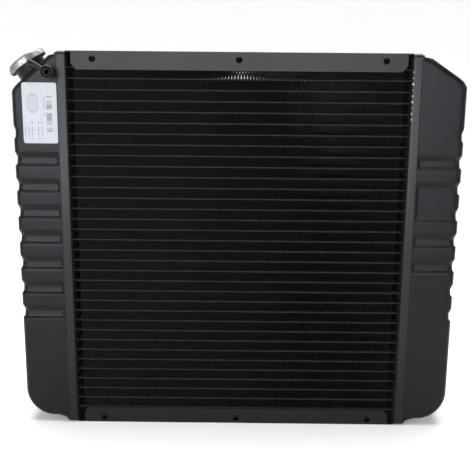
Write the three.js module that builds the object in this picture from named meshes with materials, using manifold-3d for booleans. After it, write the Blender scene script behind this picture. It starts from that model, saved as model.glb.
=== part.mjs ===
// Crossflow car radiator: copper and brass core between two ribbed side tanks, steel channels above
// and below, and a filler neck with a pressure cap on the left tank.
// Millimetres. Origin: centre of the bottom channel's underside. +X right, +Y to the engine, +Z up.
import * as THREE from 'three';
import { mergeVertices } from 'three/addons/utils/BufferGeometryUtils.js';
import Module from 'manifold-3d';

const wasm = await Module();
wasm.setup();

// ---------- driving dimensions ----------
const GAP = 0.3; // clearance between pieces that touch
const SHEET = 1.5; // steel and brass sheet

const TUBE_ROWS = 34;
const TUBE_PITCH = 14.2875; // 9/16 inch from row to row
const TOP_TUBE_Z = 493.6;
const TUBE_HEIGHT = 2.2;
const TUBE_END_X = 228.8;
const TUBES_PER_ROW = 4;
const TUBE_WALL = 0.5;
const TUBE_SIDE = 1.8; // from a tube's share of the row to its passage
const CORE_HALF_DEPTH = 33;
const CORE_HALF_WIDTH = 217;
const FIN_HEIGHT = TUBE_PITCH - TUBE_HEIGHT;
const BOTTOM_TUBE_Z = TOP_TUBE_Z - (TUBE_ROWS - 1) * TUBE_PITCH;
const FIN_TOP = TOP_TUBE_Z + TUBE_HEIGHT / 2 + FIN_HEIGHT;
const FIN_BOTTOM = BOTTOM_TUBE_Z - TUBE_HEIGHT / 2 - FIN_HEIGHT;

const CHANNEL_HALF_DEPTH = CORE_HALF_DEPTH + GAP + SHEET;
const CHANNEL_TOP = 514.2;
const WEB_HALF_WIDTH = 223.9;
const FLANGE_HOLE_RADIUS = 4.2;
const TOP_FLANGE = { halfWidth: 218, height: 24, cut: [7, 8], holeX: 190, holeZ: 10 };
const BOTTOM_FLANGE = { halfWidth: 215, height: 21.4, cut: [5, 6], holeX: 186.5, holeZ: 7.5 };

const HEADER = { inner: 224.3, outer: 236, halfDepth: 37.5, bottom: 0.6, top: 514 };

const TANK_WALL = 1.5;
const TANK = {
  rimX: HEADER.inner + SHEET + 1.2,
  sideX: 297.5,
  halfDepth: HEADER.halfDepth - SHEET - GAP,
  rimTop: HEADER.top - SHEET - GAP,
  rimBottom: HEADER.bottom + SHEET + GAP,
  stepX: 238,
  top: 508.5,
  bottom: 8,
  edgeRadius: 8,
  cornerRadius: 40,
};
const LEFT_CHAMFER = { startX: 247.5, endX: 292.5, endZ: 469.5, sideZ: 463 };
const RIGHT_CHAMFER = { startX: 250, endX: 291.5, endZ: 481, sideZ: 473 };

const GROOVE_DEPTH = 3.4;
const GROOVE_PITCH = 35.2;
const GROOVE_TOP = 418.5;
const GROOVE_COUNT = 8;
const GROOVE = { slope: 7.2, floorEnd: 16.3, height: 18.2 };
// which of the grooves, counted from the top, run across each tank's front face
const LEFT_FRONT = [false, true, true, true, true, true, true, true];
const RIGHT_FRONT = [false, true, true, true, true, true, false, false];

const NECK_TILT = THREE.MathUtils.degToRad(35); // leans outwards from upright
const NECK_BASE = new THREE.Vector3(-273.5, 0, 486);
const NECK = { bore: 19.5, body: 21, flange: 22.9, rim: 19.5, flangeBottom: 17.5, foot: -8 };
const NECK_SEAT = { radius: 14.5, top: 1.5 };
const CAP = { radius: 25, wall: 1, bottom: 13.2, top: 23.1, earReach: 27.4, earHalfWidth: 9 };
const CAP_TAB = { inner: 21.6, bottom: 15.6, top: 17, halfWidth: 7 };
const NECK_NOTCH = { radius: 21.3, halfWidth: 9.5 };

const SPRING = { turns: 4.5, radius: 11.5, wire: 0.9, bottom: 6.5, top: 18.4 };

const INLET = { x: 265, z: 450, radius: 19 };
const OUTLET = { x: -265, z: 90, radius: 22.2 };
const PIPE = { wall: 1.5, start: 30, end: 82, beadRise: 1.4, beadWidth: 4, beadBack: 6 };

const DRAIN = { x: 265, z: 42, thread: 5, hex: 8, barrel: 6, bore: 3.5 };

const LABEL = { x: -259.8, z: 434.2, width: 45.4, height: 78.5, corner: 3, thick: 0.3 };

const OVERFLOW = { radius: 4, bore: 2.6, lipRadius: 7.5, lipStart: 53, lipEnd: 56.2 };
// out of the neck's front, over the tank's edge, and round to face forwards
const OVERFLOW_PATH = [
  [-274, -19.1, 495.6],
  [-271.8, -29, 497.2],
  [-269.3, -40.6, 498.6],
  [-265, -45, 497.5],
  [-257, -46, 492.6],
  [-248.5, -47.5, 488.2],
  [-244.5, -51.5, 486.8],
  [-244.5, -56, 486.8],
];

// ---------- materials ----------
const paint = { color: 0x2b2c2f, roughness: 0.45, metalness: 0.3 };
const corePaint = { color: 0x161616, roughness: 0.7, metalness: 0.3 };
const tubePaint = { color: 0x2c2b2a, roughness: 0.55, metalness: 0.4 };
const chrome = { color: 0xc6c5bd, roughness: 0.25, metalness: 1 };
const brass = { color: 0xb5924c, roughness: 0.35, metalness: 1 };
const springSteel = { color: 0x9a9a9a, roughness: 0.35, metalness: 1 };
const rubber = { color: 0x1b1b1b, roughness: 0.85, metalness: 0 };
const paper = { color: 0xdcdce0, roughness: 0.6, metalness: 0 };

const radiator = new THREE.Group();

function add(name, geometry, finish) {
  const mesh = new THREE.Mesh(geometry, new THREE.MeshStandardMaterial(finish));
  mesh.name = name;
  radiator.add(mesh);
  return mesh;
}

// ---------- solids and booleans ----------
function welded(geometry) {
  const bare = geometry.clone();
  for (const key of Object.keys(bare.attributes)) {
    if (key !== 'position') bare.deleteAttribute(key);
  }
  return mergeVertices(bare, 1e-4);
}

function toSolid(geometry) {
  const bare = welded(geometry);
  const vertProperties = new Float32Array(bare.attributes.position.array);
  const triVerts = new Uint32Array(bare.index.array);
  return new wasm.Manifold(new wasm.Mesh({ numProp: 3, vertProperties, triVerts }));
}

function toGeometry(solid) {
  const mesh = solid.getMesh();
  const geometry = new THREE.BufferGeometry();
  geometry.setAttribute('position', new THREE.BufferAttribute(mesh.vertProperties, 3));
  geometry.setIndex(new THREE.BufferAttribute(mesh.triVerts, 1));
  return geometry;
}

function cut(geometry, ...tools) {
  return toGeometry(tools.reduce((solid, tool) => solid.subtract(toSolid(tool)), toSolid(geometry)));
}

function join(geometry, ...others) {
  return toGeometry(others.reduce((solid, other) => solid.add(toSolid(other)), toSolid(geometry)));
}

// box from its lowest to its highest corner
function box(low, high) {
  const size = high.map((value, axis) => value - low[axis]);
  const middle = high.map((value, axis) => (value + low[axis]) / 2);
  return new THREE.BoxGeometry(...size).translate(...middle);
}

// ring or disc turned about +Y's lathe axis, then stood up along +Z; points are [radius, height]
function turned(points, segments) {
  const profile = points.map(([radius, height]) => new THREE.Vector2(radius, height));
  return new THREE.LatheGeometry(profile, segments).rotateX(Math.PI / 2);
}

// closed profile [radius, height] for a plain ring
function ringProfile(inner, outer, bottom, top) {
  return [[inner, bottom], [outer, bottom], [outer, top], [inner, top], [inner, bottom]];
}

// turns a piece drawn along +Z so that it points along +Y
function pointBack(geometry) {
  return geometry.rotateX(-Math.PI / 2);
}

// mirrors a piece drawn on the right to the left
function mirrored(geometry) {
  const flipped = geometry.clone().scale(-1, 1, 1);
  const index = flipped.index.array;
  for (let i = 0; i < index.length; i += 3) [index[i], index[i + 1]] = [index[i + 1], index[i]];
  return flipped;
}

// reverses a mesh whose faces point inwards
function outward(positions, indices) {
  let volume = 0;
  for (let i = 0; i < indices.length; i += 3) {
    const [a, b, c] = [0, 1, 2].map((k) => new THREE.Vector3(...positions[indices[i + k]]));
    volume += a.dot(b.cross(c));
  }
  if (volume >= 0) return indices;
  return indices.map((_, i) => indices[i - (i % 3) + [0, 2, 1][i % 3]]);
}

// solid through a stack of closed sections that all have the same number of points
function loft(sections) {
  const count = sections[0].length;
  const positions = sections.flat();
  const indices = [];
  for (let row = 0; row + 1 < sections.length; row++) {
    for (let i = 0; i < count; i++) {
      const next = (i + 1) % count;
      const [a, b] = [row * count + i, row * count + next];
      const [c, d] = [a + count, b + count];
      indices.push(a, b, d, a, d, c);
    }
  }
  const last = (sections.length - 1) * count;
  for (let i = 1; i + 1 < count; i++) {
    indices.push(0, i + 1, i, last, last + i, last + i + 1);
  }
  const geometry = new THREE.BufferGeometry();
  geometry.setAttribute('position', new THREE.Float32BufferAttribute(positions.flat(), 3));
  geometry.setIndex(outward(positions, indices));
  return geometry;
}

// ---------- core ----------
// extrudes a closed outline of [y, z] points from x = -reach to x = reach
function alongX(outline, reach) {
  const shape = new THREE.Shape(outline.map(([y, z]) => new THREE.Vector2(y, z)));
  const geometry = new THREE.ExtrudeGeometry(shape, { depth: 2 * reach, bevelEnabled: false });
  const basis = new THREE.Matrix4().makeBasis(
    new THREE.Vector3(0, 1, 0), new THREE.Vector3(0, 0, 1), new THREE.Vector3(1, 0, 0));
  return geometry.applyMatrix4(basis).translate(-reach, 0, 0);
}

// one level of the core: flat tubes in line, front to back, as one bar with a passage for each tube
function tubeRowGeometry() {
  const half = TUBE_HEIGHT / 2;
  const nose = half * 0.4;
  const [front, back] = [-CORE_HALF_DEPTH, CORE_HALF_DEPTH - 1];
  const pitch = (back - front) / TUBES_PER_ROW;
  const bar = alongX([
    [front, -nose], [front + 1, -half], [back - 1, -half], [back, -nose],
    [back, nose], [back - 1, half], [front + 1, half], [front, nose],
  ], TUBE_END_X);
  const passages = Array.from({ length: TUBES_PER_ROW }, (_, i) => box(
    [-TUBE_END_X - 1, front + pitch * i + TUBE_SIDE, -half + TUBE_WALL],
    [TUBE_END_X + 1, front + pitch * (i + 1) - TUBE_SIDE, half - TUBE_WALL]));
  return cut(bar, ...passages);
}

const rowZ = (row) => TOP_TUBE_Z - row * TUBE_PITCH;

// fin pack: every fin row in its true envelope, joined by a thin back edge behind the tubes
function finPackGeometry() {
  const front = -CORE_HALF_DEPTH + 0.5;
  const slotBack = CORE_HALF_DEPTH - 1 + GAP;
  const slotHalf = TUBE_HEIGHT / 2 + GAP;
  const outline = [[CORE_HALF_DEPTH, FIN_BOTTOM], [CORE_HALF_DEPTH, FIN_TOP], [front, FIN_TOP]];
  for (let row = 0; row < TUBE_ROWS; row++) {
    const z = rowZ(row);
    outline.push([front, z + slotHalf], [slotBack, z + slotHalf], [slotBack, z - slotHalf], [front, z - slotHalf]);
  }
  outline.push([front, FIN_BOTTOM]);
  return alongX(outline, CORE_HALF_WIDTH);
}

const tubeRow = tubeRowGeometry();
for (let row = 0; row < TUBE_ROWS; row++) {
  const name = `tube_row_${String(row + 1).padStart(2, '0')}`;
  add(name, tubeRow, tubePaint).position.z = rowZ(row);
}
add('fin_pack', finPackGeometry(), corePaint);

const sheetReach = [CORE_HALF_WIDTH, CORE_HALF_DEPTH - 0.5];
const sideSheet = (bottom) => box([-sheetReach[0], -sheetReach[1], bottom], [...sheetReach, bottom + SHEET]);
add('upper_side_sheet', sideSheet(FIN_TOP + GAP), corePaint);
add('lower_side_sheet', sideSheet(FIN_BOTTOM - GAP - SHEET), corePaint);

// ---------- channels ----------
// flange with its outer corners cut, standing on z = 0, from y = 0 towards the back
function flangeGeometry({ halfWidth, height, cut: [cutX, cutZ] }) {
  const shape = new THREE.Shape([
    [-halfWidth, 0], [halfWidth, 0], [halfWidth, height - cutZ], [halfWidth - cutX, height],
    [-halfWidth + cutX, height], [-halfWidth, height - cutZ],
  ].map(([x, z]) => new THREE.Vector2(x, z)));
  const drawn = new THREE.ExtrudeGeometry(shape, { depth: SHEET, bevelEnabled: false });
  return drawn.rotateX(Math.PI / 2).translate(0, SHEET, 0);
}

// U channel standing on its web, opening upwards, with three bolt holes through both flanges
function channelGeometry(flange) {
  const depth = CHANNEL_HALF_DEPTH;
  const web = box([-WEB_HALF_WIDTH, -depth, 0], [WEB_HALF_WIDTH, depth, SHEET]);
  const wall = flangeGeometry(flange);
  const holes = [-flange.holeX, 0, flange.holeX].map((x) => new THREE.CylinderGeometry(
    FLANGE_HOLE_RADIUS, FLANGE_HOLE_RADIUS, 3 * depth, 16).translate(x, 0, flange.holeZ));
  const channel = join(web, wall.clone().translate(0, -depth, 0), wall.clone().translate(0, depth - SHEET, 0));
  return cut(channel, ...holes);
}

const topChannel = add('top_channel', channelGeometry(TOP_FLANGE), paint);
topChannel.rotation.x = Math.PI;
topChannel.position.z = CHANNEL_TOP;
add('bottom_channel', channelGeometry(BOTTOM_FLANGE), paint);

// ---------- headers ----------
// pan with a slot for every tube row; its turned-out wall takes the tank's rim
function headerGeometry() {
  const { inner, outer, halfDepth, bottom, top } = HEADER;
  const slots = Array.from({ length: TUBE_ROWS }, (_, row) => box(
    [inner - 1, -CORE_HALF_DEPTH - GAP, rowZ(row) - TUBE_HEIGHT / 2 - GAP],
    [inner + SHEET + 1, CORE_HALF_DEPTH - 1 + GAP, rowZ(row) + TUBE_HEIGHT / 2 + GAP]));
  const inside = box(
    [inner + SHEET, -halfDepth + SHEET, bottom + SHEET],
    [outer + 1, halfDepth - SHEET, top - SHEET]);
  return cut(box([inner, -halfDepth, bottom], [outer, halfDepth, top]), inside, ...slots);
}

const header = headerGeometry();
add('right_header', header, paint);
add('left_header', mirrored(header), paint);

// ---------- tanks ----------
// one level of a tank as a closed section; grooves sink the front, side and back by given depths
function tankSection(z, reach, inset, sink) {
  const rim = inset > 0 ? TANK.rimX - 2 : TANK.rimX;
  const depth = TANK.halfDepth - inset;
  const radius = Math.min(TANK.edgeRadius, (reach - TANK.rimX) * 0.3);
  const flat = reach - radius - TANK.rimX;
  const grooveStart = Math.min(TANK.stepX + inset, TANK.rimX + flat * 0.4);
  const grooveFull = Math.min(TANK.stepX + 2 + inset, TANK.rimX + flat * 0.8);
  const side = (face, sign) => {
    const arc = [0, 45, 90].map((degrees) => {
      const angle = THREE.MathUtils.degToRad(degrees);
      const drop = face + (sink.side - face) * (degrees / 90);
      const r = radius - drop;
      return [reach - radius + r * Math.sin(angle), sign * (depth - radius + r * Math.cos(angle)), z];
    });
    return [[rim, sign * depth, z], [grooveStart, sign * depth, z], [grooveFull, sign * (depth - face), z], ...arc];
  };
  return [...side(sink.front, -1), ...side(sink.side, 1).reverse()];
}

// levels from the top down: rim, chamfer, grooves, rounded bottom corner, rim again
function tankSections(chamfer, frontGrooves, inset) {
  const none = { front: 0, side: 0 };
  const { startX, endX, endZ, sideZ } = chamfer;
  const run = Math.hypot(endX - startX, TANK.top - endZ);
  const chamferShift = inset * run / (TANK.top - endZ);
  const slopeRun = inset * (endX - startX) / (TANK.top - endZ);
  const side = TANK.sideX - inset;
  const levels = [
    [TANK.rimTop - inset, TANK.stepX - inset, none],
    [TANK.top - inset, TANK.stepX + 2.5 - inset, none],
    [TANK.top - inset, startX + slopeRun - chamferShift, none],
    [endZ, endX - chamferShift, none],
    [sideZ, side, none],
  ];
  for (let i = 0; i < GROOVE_COUNT; i++) {
    const top = GROOVE_TOP - i * GROOVE_PITCH;
    const sunk = { front: frontGrooves[i] ? GROOVE_DEPTH : 0, side: i === 0 ? 2.5 : GROOVE_DEPTH };
    const [start, floor] = [{ ...none }, { ...sunk }];
    levels.push([top, side, start], [top - GROOVE.slope, side, floor],
      [top - GROOVE.floorEnd, side, floor], [top - GROOVE.height, side, start]);
  }
  const radius = TANK.cornerRadius - inset;
  const centre = [TANK.sideX - TANK.cornerRadius, TANK.bottom + TANK.cornerRadius];
  for (const degrees of [0, 22.5, 45, 67.5, 90]) {
    const angle = THREE.MathUtils.degToRad(degrees);
    levels.push([centre[1] - radius * Math.sin(angle), centre[0] + radius * Math.cos(angle), none]);
  }
  levels.push([TANK.bottom + inset, TANK.stepX + 3 - inset, none]);
  levels.push([TANK.rimBottom + inset, TANK.stepX - inset, none]);
  return levels.map(([z, reach, sink]) => tankSection(z, reach, inset, sink));
}

// thin pressed shell, open towards the core
function tankGeometry(chamfer, frontGrooves) {
  return cut(loft(tankSections(chamfer, frontGrooves, 0)), loft(tankSections(chamfer, frontGrooves, TANK_WALL)));
}

// straight round hole through a tank's back wall
function backHole({ x, z }, radius) {
  return pointBack(new THREE.CylinderGeometry(radius, radius, 20, 24).rotateX(Math.PI / 2))
    .translate(x, TANK.halfDepth, z);
}

// places a piece drawn about the neck's own axis onto the left tank's chamfer
function onNeck(geometry) {
  return geometry.rotateY(-NECK_TILT).translate(NECK_BASE.x, NECK_BASE.y, NECK_BASE.z);
}

const neckHole = onNeck(turned([[0, -30], [NECK.body + GAP, -30], [NECK.body + GAP, 30], [0, 30]], 24));
const leftShell = mirrored(tankGeometry(LEFT_CHAMFER, LEFT_FRONT));
const rightShell = tankGeometry(RIGHT_CHAMFER, RIGHT_FRONT);
add('left_tank', cut(leftShell, neckHole, backHole(OUTLET, OUTLET.radius + GAP)), paint);
add('right_tank', cut(rightShell, backHole(INLET, INLET.radius + GAP), backHole(DRAIN, DRAIN.thread + GAP)), paint);

// ---------- hose connections ----------
function pipeGeometry({ x, z, radius }) {
  const { wall, start, end, beadRise, beadWidth, beadBack } = PIPE;
  const beadEnd = end - beadBack;
  const beadStart = beadEnd - beadWidth;
  const profile = [
    [radius - wall, start], [radius, start], [radius, beadStart],
    [radius + beadRise, beadStart + beadWidth * 0.3], [radius + beadRise, beadStart + beadWidth * 0.7],
    [radius, beadEnd], [radius, end], [radius - wall, end], [radius - wall, start],
  ];
  return pointBack(turned(profile, 24)).translate(x, 0, z);
}

add('inlet_pipe', pipeGeometry(INLET), paint);
add('outlet_pipe', pipeGeometry(OUTLET), paint);

// ---------- filler neck and overflow tube ----------
// bar with a round section along a smooth path; bore 0 makes it solid
function barAlong(curve, radius, bore, sides, steps) {
  const shape = new THREE.Shape();
  shape.absarc(0, 0, radius, 0, 2 * Math.PI);
  if (bore > 0) {
    const hole = new THREE.Path();
    hole.absarc(0, 0, bore, 0, 2 * Math.PI, true);
    shape.holes.push(hole);
  }
  return new THREE.ExtrudeGeometry(shape, { steps, curveSegments: sides, extrudePath: curve });
}

const overflowCurve = new THREE.CatmullRomCurve3(OVERFLOW_PATH.map((point) => new THREE.Vector3(...point)));

// neck with the cap's seat below and a notched flange for the cap's tabs above
function neckGeometry() {
  const { bore, body, flange, rim, flangeBottom, foot } = NECK;
  const wall = turned([
    [bore, foot], [body, foot], [body, flangeBottom], [flange, flangeBottom], [flange, rim], [bore, rim],
    [bore, NECK_SEAT.top], [NECK_SEAT.radius, NECK_SEAT.top], [NECK_SEAT.radius, 0], [bore, 0], [bore, foot],
  ], 24);
  const notches = [1, -1].map((side) => box(
    [side > 0 ? NECK_NOTCH.radius : -30, -NECK_NOTCH.halfWidth, flangeBottom - 0.1],
    [side > 0 ? 30 : -NECK_NOTCH.radius, NECK_NOTCH.halfWidth, rim + 1]));
  return cut(onNeck(cut(wall, ...notches)), barAlong(overflowCurve, OVERFLOW.radius + GAP, 0, 4, 11));
}

add('filler_neck', neckGeometry(), paint);

// tube with a rolled lip at its open end
function overflowGeometry() {
  const { radius, bore, lipRadius, lipStart, lipEnd } = OVERFLOW;
  const [x, , z] = OVERFLOW_PATH.at(-1);
  const lip = pointBack(turned(ringProfile(radius - 0.5, lipRadius, -lipEnd, -lipStart), 16)).translate(x, 0, z);
  return join(barAlong(overflowCurve, radius, bore, 4, 11), lip);
}
add('overflow_tube', overflowGeometry(), paint);

// ---------- pressure cap ----------
// pressed cover: disc and skirt, two ears for the hand and two tabs that hook under the neck's flange
function capShellGeometry() {
  const { radius, wall, bottom, top, earReach, earHalfWidth } = CAP;
  const inner = radius - wall;
  const cover = turned([
    [3.3, top - wall], [inner, top - wall], [inner, bottom], [radius, bottom],
    [radius, top - 1.2], [radius - 1.2, top], [3.3, top], [3.3, top - wall],
  ], 32);
  const extras = [1, -1].flatMap((side) => {
    const span = (near, far) => (side > 0 ? [near, far] : [-far, -near]);
    const [earLow, earHigh] = span(inner + 0.2, earReach);
    const [tabLow, tabHigh] = span(CAP_TAB.inner, inner + 0.5);
    return [
      box([earLow, -earHalfWidth, bottom], [earHigh, earHalfWidth, top - 2]),
      box([tabLow, -CAP_TAB.halfWidth, CAP_TAB.bottom], [tabHigh, CAP_TAB.halfWidth, CAP_TAB.top]),
    ];
  });
  return join(cover, ...extras);
}

add('cap_shell', onNeck(capShellGeometry()), chrome);
add('cap_gasket', onNeck(turned(ringProfile(14, 22.4, 19.8, 20.9), 24)), rubber);
add('cap_diaphragm', onNeck(turned(ringProfile(3.4, 22.6, 21.2, 21.8), 24)), springSteel);

// rivet that holds the cap together: head outside, foot inside the relief valve's bell
add('cap_rivet', onNeck(turned([
  [0, 11.7], [5.5, 11.7], [5.5, 12.7], [3, 12.7], [3, 23.4], [6, 23.4], [6, 24.2], [5, 24.8], [0, 24.8],
], 16)), chrome);

add('relief_valve', onNeck(turned([
  [2.2, 4.1], [18, 4.1], [18, 5.1], [8, 5.1], [8, 14.5], [3.4, 14.5],
  [3.4, 13.5], [7, 13.5], [7, 5.1], [2.2, 5.1], [2.2, 4.1],
], 24)), brass);
add('relief_seal', onNeck(turned(ringProfile(14.9, 18.2, 1.8, 3.8), 24)), rubber);
add('vent_valve', onNeck(turned([
  [0, 2.6], [7, 2.6], [7, 3.8], [1.5, 3.8], [1.5, 7.5], [3.6, 7.5], [3.6, 8.3], [0, 8.3],
], 16)), brass);

// coil spring between the diaphragm and the relief valve
class Helix extends THREE.Curve {
  getPoint(t) {
    const angle = t * SPRING.turns * 2 * Math.PI;
    const height = SPRING.bottom + (SPRING.top - SPRING.bottom) * t;
    return new THREE.Vector3(SPRING.radius * Math.cos(angle), SPRING.radius * Math.sin(angle), height);
  }
}
add('relief_spring', onNeck(barAlong(new Helix(), SPRING.wire, 0, 3, 36)), springSteel);

// ---------- drain cock ----------
function drainBodyGeometry() {
  const { thread, hex, barrel, bore } = DRAIN;
  const stem = turned([
    [bore, 32], [thread, 32], [thread, 37.4], [barrel, 37.4], [barrel, 52], [bore, 52], [bore, 32],
  ], 16);
  const nut = turned(ringProfile(bore, hex, 37.4, 42), 6);
  const spout = new THREE.CylinderGeometry(3.2, 3.2, 12, 12).rotateX(Math.PI / 2).translate(0, 0, -8.5);
  const passage = new THREE.CylinderGeometry(1.9, 1.9, 16, 12).rotateX(Math.PI / 2).translate(0, 0, -7.5);
  const clear = new THREE.CylinderGeometry(bore, bore, 40, 16);
  const body = join(pointBack(join(stem, nut)), spout.translate(0, 47, 0));
  return cut(body, passage.translate(0, 47, 0), clear.translate(0, 40, 0)).translate(DRAIN.x, 0, DRAIN.z);
}
add('drain_body', drainBodyGeometry(), brass);
add('drain_washer', pointBack(turned(ringProfile(5.4, 8, 36, 37.1), 16)).translate(DRAIN.x, 0, DRAIN.z), rubber);

// spindle with its wing handle
function drainScrewGeometry() {
  const spindle = pointBack(turned([[0, 38], [3.1, 40], [3.1, 53], [4.5, 53], [4.5, 56], [0, 56]], 16));
  const wing = box([-11, 54, -1.6], [11, 62, 1.6]);
  return join(spindle, wing).translate(DRAIN.x, 0, DRAIN.z);
}
add('drain_screw', drainScrewGeometry(), brass);

// ---------- label ----------
function labelGeometry() {
  const { width, height, corner, thick } = LABEL;
  const [w, h] = [width / 2 - corner, height / 2 - corner];
  const shape = new THREE.Shape();
  shape.absarc(w, h, corner, 0, Math.PI / 2);
  shape.absarc(-w, h, corner, Math.PI / 2, Math.PI);
  shape.absarc(-w, -h, corner, Math.PI, 1.5 * Math.PI);
  shape.absarc(w, -h, corner, 1.5 * Math.PI, 2 * Math.PI);
  return new THREE.ExtrudeGeometry(shape, { depth: thick, bevelEnabled: false, curveSegments: 4 })
    .rotateX(Math.PI / 2).translate(LABEL.x, -TANK.halfDepth - GAP, LABEL.z);
}
add('label', labelGeometry(), paper);

export default radiator;
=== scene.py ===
"""Looks of a crossflow car radiator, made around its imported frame.

The frame's origin is the middle of the bottom channel's underside, +X is right seen from the grille,
+Y points to the engine and +Z is up. Shapes are worked out in millimetres and stored in metres.
"""

import bmesh
import bpy
import numpy as np
from bpy.props import FloatProperty, FloatVectorProperty, PointerProperty
from mathutils import Euler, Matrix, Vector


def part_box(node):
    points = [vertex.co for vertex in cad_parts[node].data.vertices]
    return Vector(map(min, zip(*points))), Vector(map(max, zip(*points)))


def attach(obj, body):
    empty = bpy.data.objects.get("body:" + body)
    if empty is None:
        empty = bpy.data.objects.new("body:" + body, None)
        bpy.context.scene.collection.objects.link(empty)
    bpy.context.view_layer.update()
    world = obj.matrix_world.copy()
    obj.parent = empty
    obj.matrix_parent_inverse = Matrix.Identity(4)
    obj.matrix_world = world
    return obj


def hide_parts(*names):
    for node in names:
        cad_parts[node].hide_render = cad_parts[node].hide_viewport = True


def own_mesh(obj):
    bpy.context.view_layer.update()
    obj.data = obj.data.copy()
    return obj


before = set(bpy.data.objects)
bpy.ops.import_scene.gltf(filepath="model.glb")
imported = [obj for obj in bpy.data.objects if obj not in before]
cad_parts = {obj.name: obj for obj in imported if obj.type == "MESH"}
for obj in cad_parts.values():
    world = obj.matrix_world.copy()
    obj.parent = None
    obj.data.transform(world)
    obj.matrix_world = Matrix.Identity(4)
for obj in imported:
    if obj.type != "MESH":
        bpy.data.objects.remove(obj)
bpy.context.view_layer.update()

bl_info = {
    "name": "Car radiator",
    "version": (1, 0, 0),
    "blender": (4, 5, 0),
    "location": "View3D > Sidebar > Radiator",
    "description": "Core, tanks, pressure cap and fittings of a crossflow car radiator",
    "category": "Object",
}

MM = 0.001
SHEET = 1.5  # the hose pipes' wall and the headers' plate
TURN = 2 * np.pi


def span(node):
    """Lowest and highest corner of a CAD node, in millimetres."""
    low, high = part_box(node)
    return np.array(low) / MM, np.array(high) / MM


# ---------- sizes and colours that a user may change ----------
def length(name, description, millimetres):
    """A length property, stored in metres."""
    return FloatProperty(
        name=name, description=description, default=millimetres * MM, min=0.0, precision=5, unit="LENGTH"
    )


def colour(name, description, value):
    """A colour property in linear red, green and blue."""
    return FloatVectorProperty(
        name=name, description=description, default=value, size=3, min=0.0, max=1.0, subtype="COLOR"
    )


def share(name, description, value, highest=1.0):
    """A plain number from nought to its highest value."""
    return FloatProperty(name=name, description=description, default=value, min=0.0, max=highest)


class RadiatorSizes(bpy.types.PropertyGroup):
    """Sizes of the detail that the frame leaves to the finished surfaces."""

    fin_thickness: length("Fin thickness", "Copper strip that the fins are folded from", 0.12)
    fin_pitch: length("Fin pitch", "From one fold of a fin row to the next alike", 4.2333)
    fin_bend: length("Fin bend", "How far the fins lean sideways at mid depth", 4.2)
    tube_wall: length("Tube wall", "Wall of the flat brass tubes", 0.35)
    tank_wall: length("Tank wall", "Wall of the pressed tanks", 1.2)
    edge_radius: length("Tank edge", "Round between a tank's faces and its sides", 8.0)
    solder: length("Solder", "Width of the solder round pipes and seams", 2.4)
    flange_edge: length("Flange edge", "Round on the cut edges of sheet steel", 0.3)


class RadiatorColours(bpy.types.PropertyGroup):
    """Finishes of the radiator's parts."""

    paint: colour("Paint", "Black paint on tanks, channels and headers", (0.0028, 0.0030, 0.0042))
    dust: colour("Dust", "Dry overspray and handling dust on the paint", (0.032, 0.034, 0.040))
    core: colour("Core paint", "Thin black spray on the fins", (0.0125, 0.0110, 0.0100))
    copper: colour("Copper", "Fins where the spray did not reach", (0.10, 0.045, 0.026))
    tube: colour("Tube paint", "Spray on the tubes' noses", (0.0085, 0.0084, 0.0082))
    chrome: colour("Cap plating", "Plated steel of the pressure cap", (0.30, 0.295, 0.28))
    brass: colour("Brass", "Valves and drain cock", (0.50, 0.36, 0.16))
    steel: colour("Spring steel", "Spring and diaphragm", (0.42, 0.42, 0.42))
    rubber: colour("Rubber", "Seals and washer", (0.018, 0.018, 0.018))
    solder: colour("Solder", "Bare solder drops", (0.42, 0.43, 0.45))
    paper: colour("Paper", "Label stock", (0.35, 0.352, 0.38))
    ink: colour("Ink", "Print on the label", (0.12, 0.12, 0.13))
    paint_roughness: share("Paint roughness", "Satin of the black paint", 0.31)


class RadiatorStudio(bpy.types.PropertyGroup):
    """Floor, lamps and camera."""

    floor: colour("Floor", "Plain pale floor and backdrop", (0.90, 0.90, 0.90))
    sky: share("Sky light", "Strength of the even light from all round", 0.32, 10.0)
    front_lamp: share("Front lamp", "Power of the large soft lamp behind the camera, in watts", 72.0, 1000.0)
    top_lamp: share("Top lamp", "Power of the soft lamp overhead, in watts", 84.0, 1000.0)
    lens: FloatProperty(
        name="Lens", description="Focal length", default=56.34, min=10.0, subtype="DISTANCE_CAMERA"
    )


def sizes():
    """The sizes in millimetres, by name."""
    held = bpy.context.scene.radiator_sizes
    return {name: getattr(held, name) / MM for name in RadiatorSizes.__annotations__}


def colours():
    """The finishes' colours."""
    return bpy.context.scene.radiator_colours


# ---------- surfaces ----------
def xyz(x, y, z):
    """Points from their coordinates, each a number or an array."""
    return np.stack(np.broadcast_arrays(x, y, z), -1)


def quads(rows, columns, around=False, closed=False):
    """Corner numbers of a grid's cells. `around` joins the last column to the first, `closed` the last
    row to the first."""
    down = np.arange(rows if closed else rows - 1)
    along = np.arange(columns if around else columns - 1)
    row, column = np.meshgrid(down, along, indexing="ij")
    here, there = row * columns, (row + 1) % rows * columns
    beside = (column + 1) % columns
    return np.stack([here + column, here + beside, there + beside, there + column], -1).reshape(-1, 4)


def outward(points, faces, middle=(0, 0, 0)):
    """Turns all faces round where they point inwards: the sum, over the faces, of a corner seen from the
    middle times the face's area is the enclosed volume, and it has to be positive."""
    corner = (points - np.asarray(middle, float))[faces]
    area = np.cross(corner[:, 2] - corner[:, 0], corner[:, 3] - corner[:, 1])
    return faces if (corner[:, 0] * area).sum() > 0 else faces[:, ::-1]


def part(points, cells, caps=()):
    """One patch: its points as rows of x, y, z, its four-sided cells, and any many-sided caps."""
    return np.reshape(points, (-1, 3)), np.asarray(cells), [np.asarray(cap) for cap in caps]


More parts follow.
